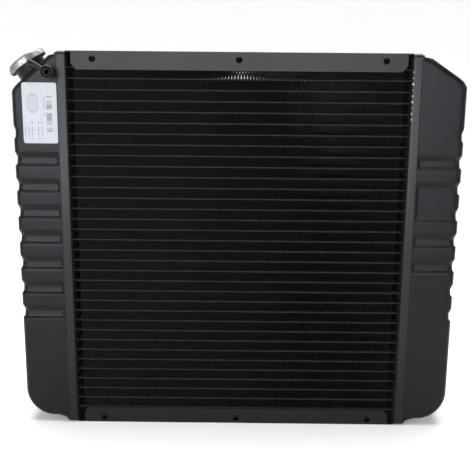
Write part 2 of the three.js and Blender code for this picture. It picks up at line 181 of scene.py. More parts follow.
def gathered(parts):
    """Several patches as one list of points and one of faces, each patch's corner numbers moved up by the
    count of the points before it."""
    starts = np.cumsum([0] + [len(points) for points, _, _ in parts])
    faces = np.concatenate([cells + start for start, (_, cells, _) in zip(starts, parts)]).tolist()
    faces += [(cap + start).tolist() for start, (_, _, caps) in zip(starts, parts) for cap in caps]
    return np.concatenate([points for points, _, _ in parts]), faces


def eased(outline, radius, steps=3, closed=True):
    """Corners of an outline eased: each gives way to a quadratic curve that starts and ends `radius`
    away along its two edges."""
    corner = np.asarray(outline, float)
    arms = [np.roll(corner, shift, 0) - corner for shift in (1, -1)]
    start, end = (
        corner + arm * np.minimum(radius / np.maximum(np.linalg.norm(arm, axis=1), 1e-9), 0.45)[:, None]
        for arm in arms
    )
    t = np.linspace(0, 1, steps)[None, :, None]
    curve = (1 - t) ** 2 * start[:, None] + 2 * t * (1 - t) * corner[:, None] + t**2 * end[:, None]
    if closed:
        return curve.reshape(-1, curve.shape[-1])
    return np.concatenate([corner[:1], curve[1:-1].reshape(-1, curve.shape[-1]), corner[-1:]])


def rounded_rectangle(half_width, half_height, radius, steps=5):
    """Quarter rounds about four middles, joined by straights."""
    angle = np.linspace(0, np.pi / 2, steps) + np.arange(4)[:, None] * np.pi / 2
    side = np.array([[1, 1], [-1, 1], [-1, -1], [1, -1]], float)
    middle = side * (half_width - radius, half_height - radius)
    ring = middle[:, None] + radius * np.stack([np.cos(angle), np.sin(angle)], -1)
    return ring.reshape(-1, 2)


def lathe(profile, place, segments=64, closed=True, shape=None):
    """Profile of radius and height turned about an axis. `shape` may change the radius with the height
    and angle, and `place` carries the piece's own x, y, z to where it belongs."""
    radius, height = np.asarray(profile, float).T[:, :, None]
    angle = np.linspace(0, TURN, segments, endpoint=False)[None]
    if shape:
        radius = shape(radius, height, angle)
    points = place(radius * np.cos(angle), radius * np.sin(angle), height + 0 * angle).reshape(-1, 3)
    faces = quads(len(profile), segments, around=True, closed=closed)
    return part(points, outward(points, faces, points.mean(0)))


def loft(sections):
    """Surface through like sections, shut at both ends."""
    stack = np.asarray(sections, float)
    rows, columns = stack.shape[:2]
    points = stack.reshape(-1, 3)
    middle = points.mean(0)
    cells = quads(rows, columns, around=True)
    turned = outward(points, cells, middle)
    first, last = np.arange(columns), np.arange(columns) + (rows - 1) * columns
    kept = turned is cells
    caps = [first[::-1] if kept else first, last if kept else last[::-1]]
    return part(points, turned, caps)


def tube(path, outer, inner, sides=20, reference=(0, 0, 1)):
    """Round section carried along a path: a ring square to the path at each of its points, out along the
    outer radii and back along the inner ones."""
    path = np.asarray(path, float)
    along = np.gradient(path, axis=0)
    along /= np.linalg.norm(along, axis=1)[:, None]
    across = np.cross(along, np.asarray(reference, float))
    across /= np.linalg.norm(across, axis=1)[:, None]
    up = np.cross(across, along)
    angle = np.linspace(0, TURN, sides, endpoint=False)[None, :, None]
    ring = across[:, None] * np.cos(angle) + up[:, None] * np.sin(angle)
    outer, inner = (np.broadcast_to(radius, len(path))[:, None, None] for radius in (outer, inner))
    rows = np.concatenate([path[:, None] + outer * ring, (path[:, None] + inner * ring)[::-1]])
    cells = quads(len(rows), sides, around=True, closed=True)
    points = rows.reshape(-1, 3)
    return part(points, outward(points, cells, points.mean(0)))


def smooth_path(points, steps=6):
    """Catmull-Rom curve through the points: each stretch is a cubic whose slope at a point is half the
    way between that point's neighbours."""
    p = np.asarray(points, float)
    p = np.concatenate([2 * p[:1] - p[1:2], p, 2 * p[-1:] - p[-2:-1]])
    a, b, c, d = p[:-3, None], p[1:-2, None], p[2:-1, None], p[3:, None]
    t = np.linspace(0, 1, steps, endpoint=False)[None, :, None]
    squared, cubed = (2 * a - 5 * b + 4 * c - d) * t**2, (3 * b - a - 3 * c + d) * t**3
    curve = 0.5 * (2 * b + (c - a) * t + squared + cubed)
    return np.concatenate([curve.reshape(-1, 3), p[-2:-1]])


def mirrored(patch):
    """The same patch on the other side of x = 0, its faces turned round."""
    points, cells, caps = patch
    return points * (-1, 1, 1), cells[:, ::-1], [cap[::-1] for cap in caps]


# ---------- where things are ----------
def backward(x, z, y=0.0):
    """Place for a piece drawn along its own z that points to the engine."""
    return lambda a, b, c: xyz(x + a, y + c, z - b)


def forward(x, z, y=0.0):
    """Place for a piece drawn along its own z that points to the grille."""
    return lambda a, b, c: xyz(x + a, y - c, z + b)


def downward(x, y, z):
    """Place for a piece drawn along its own z that points down."""
    return lambda a, b, c: xyz(x + a, y - b, z - c)


NECK_TILT = np.radians(35)
NECK_BASE = np.array([-273.5, 0, 486])
NECK_AXIS = np.array([-np.sin(NECK_TILT), 0, np.cos(NECK_TILT)])
NECK_RIGHT = np.array([np.cos(NECK_TILT), 0, np.sin(NECK_TILT)])
NECK_BACK = np.array([0.0, 1, 0])
CHAMFER_LEAN = 0.1033  # rise of the tank's chamfer along the neck's right, for each millimetre


def on_neck(x, y, z):
    """Place for a piece drawn about the filler neck's axis."""
    x, y, z = np.broadcast_arrays(x, y, z)
    return NECK_BASE + x[..., None] * NECK_RIGHT + y[..., None] * NECK_BACK + z[..., None] * NECK_AXIS


# ---------- pieces ----------
def finished(name, mesh, body, material, nodes, angle):
    """Object for a mesh: shaded smooth up to an angle, painted, riding on a body and standing for nodes."""
    mesh.polygons.foreach_set("use_smooth", np.ones(len(mesh.polygons), bool))
    mesh.set_sharp_from_angle(angle=np.radians(angle))
    mesh.materials.append(material)
    made = bpy.data.objects.new(name, mesh)
    bpy.context.scene.collection.objects.link(made)
    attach(made, body)
    if nodes:
        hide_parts(*nodes)
    return made


def piece(name, parts, material, body="radiator", nodes=(), slot_name="black_paint", angle=35):
    """A new piece from its patches, in millimetres, with its doubled points merged."""
    points, faces = gathered(parts)
    mesh = bpy.data.meshes.new(name)
    mesh.from_pydata((points * MM).tolist(), [], faces)
    work = bmesh.new()
    work.from_mesh(mesh)
    bmesh.ops.remove_doubles(work, verts=work.verts, dist=1e-6)
    bmesh.ops.dissolve_degenerate(work, edges=work.edges, dist=1e-6)
    work.to_mesh(mesh)
    work.free()
    return finished(name, mesh, body, material, nodes, angle)


def refined(name, node, material, edge, body="radiator"):
    """A copy of a CAD node with its doubled points merged, its flats joined up and its edges rounded."""
    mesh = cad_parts[node].data.copy()
    mesh.materials.clear()
    work = bmesh.new()
    work.from_mesh(mesh)
    bmesh.ops.remove_doubles(work, verts=work.verts, dist=1e-6)
    bmesh.ops.dissolve_limit(work, angle_limit=np.radians(1), verts=work.verts, edges=work.edges)
    work.to_mesh(mesh)
    work.free()
    made = finished(name, mesh, body, material, [node], 35)
    bevel = made.modifiers.new("edges", "BEVEL")
    bevel.width = edge * MM
    bevel.segments = 2
    bevel.limit_method = "ANGLE"
    bevel.angle_limit = np.radians(35)
    return made


# ---------- materials ----------
FIN_END = span("fin_pack")[1][0] * MM
HEADER_PLATE = (span("right_header")[0][0] + 0.9) * MM  # up to just past the header's plate


class Wire:
    """A socket in a material. Arithmetic on wires adds the Math nodes that it needs."""

    def __init__(self, graph, socket):
        self.graph, self.socket = graph, socket

    def math(self, operation, *others):
        """A Math node with this socket as its first value."""
        values = dict(enumerate((self, *others)))
        return self.graph.node("ShaderNodeMath", {"operation": operation}, values)

    def flipped(self, operation, other):
        """A Math node with this socket as its second value."""
        return self.graph.node("ShaderNodeMath", {"operation": operation}, {0: other, 1: self})

    def __add__(self, other):
        return self.math("ADD", other)

    def __sub__(self, other):
        return self.math("SUBTRACT", other)

    def __rsub__(self, other):
        return self.flipped("SUBTRACT", other)

    def __mul__(self, other):
        return self.math("MULTIPLY", other)

    def __gt__(self, other):
        return self.math("GREATER_THAN", other)

    def __lt__(self, other):
        return self.math("LESS_THAN", other)

    __radd__, __rmul__ = __add__, __mul__

    def clamped(self):
        """The value held between 0 and 1."""
        return self.math("MAXIMUM", 0.0).math("MINIMUM", 1.0)

    def ramp(self, low, high):
        """0 at the low value and 1 at the high one, straight between them."""
        return ((self - low) * (1 / (high - low))).clamped()

    def between(self, low, high):
        """1 where the value lies between the two, 0 elsewhere."""
        return (self > low) * (self < high)


def toned(base, *shares):
    """A colour with its red, green and blue multiplied by their shares, or all three by one share."""
    return [value * times for value, times in zip(base, np.broadcast_to(shares, 3).tolist())]


class Graph:
    """A material's nodes: one principled surface, and a method that adds any other node."""

    def __init__(self, name, **constants):
        self.material = bpy.data.materials.new(name)
        self.material.use_nodes = True
        self.tree = self.material.node_tree
        self.tree.nodes.clear()
        self.surface = self.tree.nodes.new("ShaderNodeBsdfPrincipled")
        output = self.tree.nodes.new("ShaderNodeOutputMaterial")
        self.tree.links.new(self.surface.outputs[0], output.inputs[0])
        for socket, value in constants.items():
            self.feed(self.surface.inputs[socket.replace("_", " ")], value)

    def feed(self, socket, value):
        """Links a wire to the socket, or sets the socket to a value."""
        if isinstance(value, Wire):
            self.tree.links.new(value.socket, socket)
        elif hasattr(value, "__len__") and socket.type == "RGBA":
            socket.default_value = (*value[:3], 1.0)
        else:
            socket.default_value = value

    def node(self, kind, settings=None, values=None, output=0):
        """Adds a node: its settings first, then its sockets' values or links."""
        made = self.tree.nodes.new(kind)
        for name, value in (settings or {}).items():
            setattr(made, name, value)
        for socket, value in (values or {}).items():
            self.feed(made.inputs[socket], value)
        return Wire(self, made.outputs[output])

    def place(self):
        """Object coordinates, in metres."""
        return self.node("ShaderNodeTexCoord", output="Object")

    def axes(self, vector):
        """A vector's x, y and z."""
        split = self.node("ShaderNodeSeparateXYZ", values={0: vector})
        return [Wire(self, socket) for socket in split.socket.node.outputs]

    def stretched(self, vector, scale):
        """Coordinates multiplied by a scale along each axis."""
        return self.node("ShaderNodeMapping", values={"Vector": vector, "Scale": scale})

    def noise(self, vector, scale, detail=2.0, roughness=0.5):
        """Cloudy noise about one half."""
        values = {"Vector": vector, "Scale": scale, "Detail": detail, "Roughness": roughness}
        return self.node("ShaderNodeTexNoise", values=values)

    def blend(self, factor, first, second):
        """The first colour where the factor is 0, the second where it is 1."""
        settings = {"data_type": "RGBA"}
        return self.node("ShaderNodeMix", settings, {0: factor, 6: first, 7: second}, output=2)

    def bump(self, height, distance, strength=1.0):
        """A normal tilted by a height, its distance in millimetres."""
        values = {"Height": height, "Distance": distance * MM, "Strength": strength}
        return self.node("ShaderNodeBump", values=values)

    def finish(self, **varying):
        """Feeds what changes over the surface, and gives the material."""
        for socket, value in varying.items():
            self.feed(self.surface.inputs[socket.replace("_", " ")], value)
        return self.material


def satin_paint(name, roughness, shine, peel=0.012, dry_within=0.0):
    """Sprayed satin black: orange peel, cloudy gloss, dry overspray, and dust in patches that gather more on
    faces looking up. Nearer the middle than `dry_within` metres the spray is dry and dull."""
    c = colours()
    g = Graph(name, IOR=1.5, Specular_IOR_Level=shine)
    place = g.place()
    cloud = g.noise(place, 7, 3)
    grain = g.noise(place, 420, 4, 0.6)
    patch = g.noise(place, 38, 6, 0.65).ramp(0.48, 0.72)
    upward = g.axes(g.node("ShaderNodeNewGeometry", output="Normal"))[2].ramp(0.1, 1.0)
    dusty = (patch * (0.06 + 0.25 * upward) + grain.ramp(0.62, 0.8) * 0.08).clamped()
    gloss = roughness - 0.05 + 0.10 * cloud + 0.10 * dusty + 0.05 * grain
    if dry_within:
        gloss = gloss + 0.7 * (g.axes(place)[0].math("ABSOLUTE") < dry_within)
    return g.finish(
        Base_Color=g.blend(dusty, c.paint, c.dust),
        Roughness=gloss,
        Normal=g.bump(g.noise(place, 260, 2) + 0.35 * g.noise(place, 1100, 2), peel),
    )


def fin_paint():
    """Black spray near both faces of the core, thinning to dull copper in the middle of its depth."""
    c = colours()
    g = Graph("fin_paint", Specular_IOR_Level=0.35)
    place = g.place()
    depth = g.axes(place)[1].math("ABSOLUTE")
    reach = depth + 0.006 * (g.noise(place, 160, 3) - 0.5)
    bare = 1 - reach.ramp(0.012, 0.026)
    mottled = bare * (0.35 + 0.65 * g.noise(place, 55, 4))
    return g.finish(
        Base_Color=g.blend(mottled, c.core, c.copper),
        Roughness=0.75 - 0.2 * mottled,
        Metallic=0.6 * mottled,
        Normal=g.bump(g.noise(place, 900, 2), 0.02),
    )


def tube_paint():
    """Thin spray over flat brass tubes, with drips of a lighter, drier coat along them and at their ends."""
    c = colours()
    g = Graph("tube_paint", Specular_IOR_Level=0.12)
    place = g.place()
    streak = g.noise(g.stretched(place, (1, 6, 6)), 60, 4)
    rubbed = g.noise(g.stretched(place, (1, 3, 3)), 140, 3).ramp(0.56, 0.78)
    tinted = g.blend(g.noise(place, 5, 2).ramp(0.45, 0.75), c.tube, toned(c.tube, 1.5, 1.15, 1))
    at_ends = g.axes(place)[0].math("ABSOLUTE") > FIN_END
    return g.finish(
        Base_Color=g.blend(rubbed * 0.35, tinted, c.dust),
        Roughness=0.42 + 0.28 * streak + 0.6 * at_ends,
        Normal=g.bump(streak + 0.4 * g.noise(place, 700), 0.03),
    )


def plating():
    """Plated steel: fine stains, a few dull patches and faint turning marks."""
    c = colours()
    g = Graph("cap_plating", Metallic=1.0)
    place = g.place()
    stain = g.noise(place, 380, 5, 0.7)
    patch = g.noise(place, 90, 4).ramp(0.42, 0.7)
    dull = (stain.ramp(0.44, 0.62) * 0.75 + patch * 0.4).clamped()
    darker = toned(c.chrome, 0.30, 0.28, 0.25)
    return g.finish(
        Base_Color=g.blend(dull, c.chrome, darker),
        Roughness=0.20 + 0.26 * stain + 0.12 * patch,
        Normal=g.bump(stain + 0.5 * g.noise(place, 900, 2), 0.22),
    )


def metal(name, base, roughness, dull=0.45):
    """Bare metal with faint tarnish and a fine grain."""
    g = Graph(name, Metallic=1.0)
    place = g.place()
    tarnish = g.noise(place, 130, 5, 0.6)
    grain = g.noise(place, 1300, 3)
    return g.finish(
        Base_Color=g.blend(tarnish.ramp(0.42, 0.75), base, toned(base, dull)),
        Roughness=roughness + 0.25 * tarnish + 0.08 * grain,
        Normal=g.bump(grain + tarnish, 0.02),
    )


def rubber():
    """Moulded rubber with a dry bloom."""
    c = colours()
    g = Graph("seal_rubber", Specular_IOR_Level=0.3)
    place = g.place()
    bloom = g.noise(place, 150, 4)
    return g.finish(
        Base_Color=g.blend(bloom.ramp(0.5, 0.8) * 0.4, c.rubber, c.dust),
        Roughness=0.72 + 0.2 * bloom,
        Normal=g.bump(g.noise(place, 1500, 2), 0.03),
    )


# left edge, bottom and top of the label's broken lines, as shares of its width and height
LABEL_LINES = [
    (0.05, 0.08, 0.34), (0.15, 0.08, 0.30), (0.25, 0.03, 0.38), (0.43, 0.03, 0.38),
    (0.53, 0.03, 0.46), (0.61, 0.44, 0.78),
]
LABEL_LINE_WIDTH = 0.028


def label_paper():
    """Pale label with plain print: a strip of bars, broken lines in columns and a soft oval patch."""
    c = colours()
    low, high = span("label")
    g = Graph("label_paper", IOR=1.45)
    place = g.place()
    x, _, z = g.axes(place)
    across = (x - low[0] * MM) * (1 / ((high[0] - low[0]) * MM))
    up = (z - low[2] * MM) * (1 / ((high[2] - low[2]) * MM))

    def steps(value, count, seed):
        """A random number for each of `count` equal steps along the label."""
        number = (value * count).math("FLOOR") + seed
        return g.node("ShaderNodeTexWhiteNoise", {"noise_dimensions": "1D"}, {"W": number})

    bars = (steps(up, 62, 3.5) > 0.45) * across.between(0.69, 0.85) * up.between(0.16, 0.78)
    small = (steps(up, 90, 9.5) > 0.4) * ((across * 120).math("FRACT") < 0.8)
    columns = sum(
        across.between(left, left + LABEL_LINE_WIDTH) * up.between(foot, top)
        for left, foot, top in LABEL_LINES
    )
    round_x, round_z = (across - 0.30) * (1 / 0.17), (up - 0.66) * (1 / 0.17)
    oval = (round_x * round_x + round_z * round_z).math("SQRT")
    emblem = oval.between(0.72, 1.0) * 0.55 + oval.between(0.0, 0.6) * 0.32
    worn = 0.75 + 0.25 * g.noise(place, 700, 2)
    print_amount = ((bars * 0.85 + columns * small * 0.95 + emblem * 0.7) * worn).clamped()
    fibre = g.noise(place, 600, 3)
    stock = g.blend(fibre.ramp(0.35, 0.75) * 0.12, c.paper, toned(c.paper, 0.8))
    return g.finish(
        Base_Color=g.blend(print_amount, stock, c.ink),
        Roughness=0.42 + 0.2 * fibre,
        Normal=g.bump(g.noise(place, 120, 2) + 0.2 * fibre, 0.03),
    )


finishes = {}


def finish(name):
    """The named finish, made the first time it is asked for."""
    satin = colours().paint_roughness
    makers = {
        "paint": lambda: satin_paint("black_paint", satin - 0.02, 0.30),
        "tank_paint": lambda: satin_paint("tank_paint", satin, 0.17, 0.016),
        "header_paint": lambda: satin_paint("header_paint", satin - 0.02, 0.27, dry_within=HEADER_PLATE),
        "channel_paint": lambda: satin_paint("channel_paint", satin, 0.22),
        "neck_paint": lambda: satin_paint("neck_paint", satin - 0.06, 0.17, 0.03),
        "dry_paint": lambda: satin_paint("dry_paint", 0.85, 0.1, 0.03),
        "fins": fin_paint,
        "tubes": tube_paint,
        "plating": plating,
        "brass": lambda: metal("bare_brass", colours().brass, 0.22),
        "steel": lambda: metal("spring_steel", colours().steel, 0.24, 0.6),
        "solder": lambda: metal("bare_solder", colours().solder, 0.30, 0.5),
        "rubber": rubber,
        "paper": label_paper,
    }
    if name not in finishes:
        finishes[name] = makers[name]()
    return finishes[name]


# ---------- core ----------
TUBE_GAP = 0.5  # between one tube and the one behind it


def flat_tube(front, back, z, height, reach, wall):
    """Two half rounds joined by flats, carried straight along x, with the same outline a wall's
    thickness further in for the passage."""
    angle = np.concatenate([np.linspace(-90, 90, 6), np.linspace(90, 270, 6)]) * np.pi / 180
    radius = height / 2
    middle = np.where(np.arange(12) < 6, back - radius, front + radius)
    rows = [
        xyz(x, middle + r * np.cos(angle), z + r * np.sin(angle))
        for x, r in ((-reach, radius), (reach, radius), (reach, radius - wall), (-reach, radius - wall))
    ]
    points = np.concatenate(rows)
    cells = quads(4, 12, around=True, closed=True)
    return part(points, outward(points, cells, points.mean(0)))


def tube_rows():
    """The CAD's tube rows, from the top down."""
    return sorted(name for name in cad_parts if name.startswith("tube_row_"))


class RADIATOR_OT_tubes(bpy.types.Operator):
    """Four flat tubes, one behind the other, at each level of the core"""

    bl_idname = "radiator.tubes"
    bl_label = "Flat tubes"

    def execute(self, context):
        s = sizes()
        for number, node in enumerate(tube_rows(), 1):
            low, high = span(node)
            edges = np.linspace(low[1], high[1], 5)
            z, height = (low[2] + high[2]) / 2, high[2] - low[2]
            # the foremost tube reaches the core's own front
            fronts = edges[:-1] + TUBE_GAP / 2 * (edges[:-1] > low[1])
            backs = edges[1:] - TUBE_GAP / 2
            parts = [
                flat_tube(front, back, z, height, high[0], s["tube_wall"])
                for front, back in zip(fronts, backs)
            ]
            piece(f"flat_tubes_{number:02d}", parts, finish("tubes"), nodes=[node], slot_name="tube_paint")
        return {"FINISHED"}


def fin_row(z, height, reach, depth, bend, pitch, thickness):
    """Strip folded into a wave of four points a fold, flat at its crests. It leans sideways to `bend` at
    mid depth, and its two faces lie half a thickness either side along the corners' mitres."""
    crest = 0.11 * pitch
    folds = int(2 * (reach - crest) / pitch)
    rise = height / 2 - thickness / 2
    fold = np.array([[-crest, -rise], [crest, -rise], [pitch / 2 - crest, rise], [pitch / 2 + crest, rise]])
    starts = pitch * np.arange(folds) - folds * pitch / 2
    line = (fold + starts[:, None, None] * (1, 0)).reshape(-1, 2)
    edge = np.diff(line, axis=0)
    normal = np.stack([-edge[:, 1], edge[:, 0]], -1) / np.linalg.norm(edge, axis=1)[:, None]
    before, after = np.concatenate([normal[:1], normal]), np.concatenate([normal, normal[-1:]])
    mitre = (before + after) / (1 + (before * after).sum(1))[:, None] * thickness / 2
    low, high = depth
    y = np.array([low, 0, high, high, 0, low], float)
    lean = np.array([0, bend, 0, 0, bend, 0], float)
    side = np.array([1, 1, 1, -1, -1, -1], float)
    face = line[:, None] + mitre[:, None] * side[None, :, None]
    x = np.clip(face[..., 0] + lean, -reach, reach)
    points = xyz(x, y, z + face[..., 1]).reshape(-1, 3)
    cells = quads(len(line), 6, around=True)
    last = len(points) - 6
    turned = outward(points, cells, points.mean(0))
    ends = [np.arange(6), last + np.arange(6)[::-1]]
    if turned is cells:
        ends = [end[::-1] for end in ends]
    return part(points, turned, ends)


class RADIATOR_OT_fins(bpy.types.Operator):
    """Folded copper fins between the tubes"""

    bl_idname = "radiator.fins"
    bl_label = "Fin rows"

    def execute(self, context):
        s = sizes()
        low, high = span("fin_pack")
        tubes = [span(node) for node in tube_rows()]
        middles = np.array([(a[2] + b[2]) / 2 for a, b in tubes])
        pitch = middles[0] - middles[1]
        height = pitch - (tubes[0][1][2] - tubes[0][0][2])
        levels = np.concatenate([[middles[0] + pitch / 2], middles - pitch / 2])
        # the second row leans less, so a little light passes between its fins when it is faced squarely
        bends = np.where(np.arange(len(levels)) == 1, 0.44, 1.0) * s["fin_bend"]
        rows = [
            fin_row(z, height, high[0], (low[1], high[1] - 0.4), bend, s["fin_pitch"], s["fin_thickness"])
            for z, bend in zip(levels, bends)
        ]
        half = len(rows) // 2
        for name, chosen in (("upper_fins", rows[:half]), ("lower_fins", rows[half:])):
            piece(name, chosen, finish("fins"), nodes=["fin_pack"], slot_name="core_paint")
        for side in ("upper", "lower"):
            sheet = f"{side}_side_sheet"
            refined(f"{side}_core_sheet", sheet, finish("channel_paint"), 0.2)
        return {"FINISHED"}


# ---------- channels and headers ----------
class RADIATOR_OT_channels(bpy.types.Operator):
    """Steel channels above and below the core"""

    bl_idname = "radiator.channels"
    bl_label = "Channels"

    def execute(self, context):
        s = sizes()
        for side in ("top", "bottom"):
            refined(f"{side}_steel_channel", f"{side}_channel", finish("channel_paint"), s["flange_edge"])
        # solder that closes the gap between the channels' ends and the header plates
        top, bottom = span("top_channel"), span("bottom_channel")
        back = np.linspace(top[0][1] + 0.6, top[1][1] - 0.6, 60)
        swell = 0.75 + 0.1 * np.sin(0.9 * back) + 0.05 * np.sin(2.3 * back)
        lines = [
            xyz(side * (top[1][0] + 0.2), back, z)
            for side in (-1, 1) for z in (top[1][2] - 0.7, bottom[0][2] + 0.9)
        ]
        beads = [tube(line, swell, 0.02, 10) for line in lines]
        piece("channel_solder", beads, finish("channel_paint"), angle=60)
        return {"FINISHED"}


def pan(low, high, sheet):
    """Shallow pan that opens to +x: rounded rectangles, each at its own x and inset, from the middle of
    the plate out round the bend, over the wall's lip and back down the inside."""
    half_depth, half_height = high[1], (high[2] - low[2]) / 2
    middle = (high[2] + low[2]) / 2
    inner, outer = low[0], high[0]
    bend = 2.4
    steps = [
        (inner, 3.4), (inner, bend), (inner + 0.2, 1.4), (inner + 0.8, 0.6), (inner + bend, 0.12),
        (inner + 4, 0), (outer - 0.4, 0), (outer, 0.35), (outer, sheet - 0.35), (outer - 0.4, sheet),
        (inner + sheet + 1.2, sheet), (inner + sheet + 0.3, sheet + 0.4), (inner + sheet, sheet + 1.4),
        (inner + sheet, sheet + 3),
    ]
    sections = []
    for x, inset in steps:
        ring = rounded_rectangle(half_depth - inset, half_height - inset, max(5.0 - inset, 0.5))
        sections.append(xyz(x, ring[:, 0], middle + ring[:, 1]))
    return loft(sections)


def bead(ring, x, width, wobble):
    """Small round of solder along a closed ring: a fan of points about each ring point, its size
    swelling and shrinking with the way round."""
    count = len(ring)
    way = np.linspace(0, TURN, count, endpoint=False)
    size = width * (1 + wobble * (0.5 * np.sin(23 * way) + 0.5 * np.sin(57 * way + 1)))
    forward = np.roll(ring, -1, 0) - np.roll(ring, 1, 0)
    out = np.stack([forward[:, 1], -forward[:, 0]], -1)
    out /= np.maximum(np.linalg.norm(out, axis=1), 1e-9)[:, None]
    fan = np.array([[-0.2, -0.5], [1.0, -0.5], [0.75, 0.05], [0.35, 0.35], [0.0, 0.55], [-0.2, 0.55]])
    rows = [
        xyz(x + size * a, ring[:, 0] + out[:, 0] * size * b, ring[:, 1] + out[:, 1] * size * b)
        for a, b in fan
    ]
    points = np.concatenate(rows)
    cells = quads(len(fan), count, around=True, closed=True)
    return part(points, outward(points, cells, points.mean(0)))


def resampled(ring, count):
    """The same closed line with its points an even distance apart."""
    shut = np.concatenate([ring, ring[:1]])
    way = np.concatenate([[0], np.cumsum(np.linalg.norm(np.diff(shut, axis=0), axis=1))])
    at = np.linspace(0, way[-1], count, endpoint=False)
    return np.stack([np.interp(at, way, shut[:, k]) for k in (0, 1)], -1)


def drop(place, radius, height):
    """Low dome with a wide foot."""
    angle = np.linspace(0, np.pi / 2, 4)
    profile = np.stack([radius * np.cos(angle), height * np.sin(angle)], -1)
    return lathe(np.concatenate([[[0, -0.4], [radius, -0.4]], profile]), place, 10, closed=False)


class RADIATOR_OT_headers(bpy.types.Operator):
    """Header pans, the solder round the tube ends and along the seams"""

    bl_idname = "radiator.headers"
    bl_label = "Headers"

    def execute(self, context):
        low, high = span("right_header")
        right = pan(low, high, SHEET)
        rows = [span(node) for node in tube_rows()]
        joints = []
        for a, b in rows:
            outline = rounded_rectangle((b[1] - a[1]) / 2 + 0.3, (b[2] - a[2]) / 2 + 0.2, 1.1, 3)
            ring = resampled(outline, 28) + ((a[1] + b[1]) / 2, (a[2] + b[2]) / 2)
            joints.append(bead(ring, low[0] + 0.3, -1.1, 0.15))
        middle = (high[2] + low[2]) / 2
        inset = SHEET + 0.2
        outline = rounded_rectangle(high[1] - inset, (high[2] - low[2]) / 2 - inset, 3.0)
        seam = bead(resampled(outline, 420) + (0, middle), high[0] - 0.5, 1.5, 0.12)
        for name, placed in (("right", lambda patch: patch), ("left", mirrored)):
            piece(f"{name}_header_pan", [placed(right)], finish("header_paint"), nodes=[f"{name}_header"])
            piece(f"{name}_tube_joints", [placed(joint) for joint in joints], finish("dry_paint"))
            piece(f"{name}_seam", [placed(seam)], finish("paint"))

        def seat(z):
            """Place on the right header's inner edge for a drop half as tall again as it is wide."""
            return lambda a, b, c: xyz(low[0] + 0.9 + a, low[1] + 0.5 - c, z + 1.5 * b)

        number = np.arange(9)
        heights, widths = 430 + 7.6 * number, 0.95 + 0.3 * np.sin(2.3 * number)
        drops = [drop(seat(z), width, 0.9) for z, width in zip(heights, widths)]
        piece("header_solder_drops", drops, finish("solder"))
        return {"FINISHED"}


# ---------- tanks ----------
HOSE_BEAD = 1.4  # height of the bead round a hose pipe's end
DRAIN_X, DRAIN_Z = 265.0, 42.0
TANK = {"rim": 227.0, "step": 238.0, "top": 508.5, "bottom": 8.0, "side": 297.5, "corner": 40.0}
CHAMFERS = {
    "left": {"start": 247.5, "end": 292.5, "end_z": 469.5, "side_z": 463.0},
    "right": {"start": 250.0, "end": 291.5, "end_z": 481.0, "side_z": 473.0},
}
GROOVE_PITCH = 35.2
GROOVE_TOPS = 418.5 - GROOVE_PITCH * np.arange(8)
GROOVE_DEPTHS = np.where(np.arange(8) == 0, 2.5, 3.4)
# grooves as top, extra length and depth; two on the right tank's front run into one
ALL_GROOVES = [(top, 0.0, deep) for top, deep in zip(GROOVE_TOPS, GROOVE_DEPTHS)]
FRONT_GROOVES = {
    "left": ALL_GROOVES[1:],
    "right": [(GROOVE_TOPS[number], GROOVE_PITCH * (number == 2), 3.4) for number in (1, 2, 4, 5)],
}
LONG_GROOVE_FOOT = [296.6, 294.7]
NUDGES = np.array([-0.6, -0.3, 0.0, 0.3, 0.6])


def sunk(z, grooves):
    """Depth of the grooves at each level: each ramps down, rises a little along its floor and steps back
    up, with its corners eased by averaging over two millimetres."""
    level = z[..., None] + 1.6 * NUDGES
    depth = np.zeros(level.shape)
    for top, longer, deepest in grooves:
        at = np.array([-18.5 - longer, -16.3 - longer, -7.2, 0.0])
        depth = np.maximum(depth, np.interp(level - top, at, [0, 0.76 * deepest, deepest, 0], 0, 0))
    return depth.mean(-1)


def reach_at(z, chamfer):
    """How far out the side is at each level: straight down the chamfer and the side, then a quarter round."""
    lines = [TANK["bottom"] + TANK["corner"], chamfer["side_z"], chamfer["end_z"], TANK["top"]]
    out = [TANK["side"], TANK["side"], chamfer["end"], chamfer["start"]]
    slope = (out[3] - out[2]) / (lines[3] - lines[2])
    level = z[..., None] + 3 * NUDGES
    straight = (np.interp(level, lines, out) + slope * np.maximum(level - lines[3], 0)).mean(-1)
    below = np.clip(lines[0] - z, 0, TANK["corner"])
    rounded = TANK["side"] - TANK["corner"] + np.sqrt(np.maximum(TANK["corner"] ** 2 - below**2, 0))
    return np.where(z < lines[0], rounded, straight)


def eased_step(value, low, high):
    """0 below low, 1 above high, an S curve between."""
    t = np.clip((value - low) / (high - low), 0, 1)
    return t * t * (3 - 2 * t)


def tank_levels(edge):
    """Heights of the shell's rows, from the top down: even steps, and closer ones where it curves."""
    near_groove = np.concatenate([
        [1.2, 0.6, 0.1, -0.5, -1.2, -3.5, -6, -6.8, -7.5, -8.4, -12], np.arange(-15.4, -19.4, -0.45),
    ])
    edge_steps = edge * (1 - np.cos(np.linspace(0, np.pi / 2, 8)))
    corner_steps = TANK["corner"] * (1 - np.sin(np.linspace(0, np.pi / 2, 16)))
    levels = np.concatenate([
        np.arange(TANK["bottom"] + 4, TANK["top"] - 4, 4.0),
        (GROOVE_TOPS[:, None] + near_groove).ravel(),
        TANK["top"] - edge_steps,
        TANK["bottom"] + edge_steps,
        TANK["bottom"] + corner_steps,
        LONG_GROOVE_FOOT,
    ])
    return np.unique(np.round(levels, 1))[::-1]


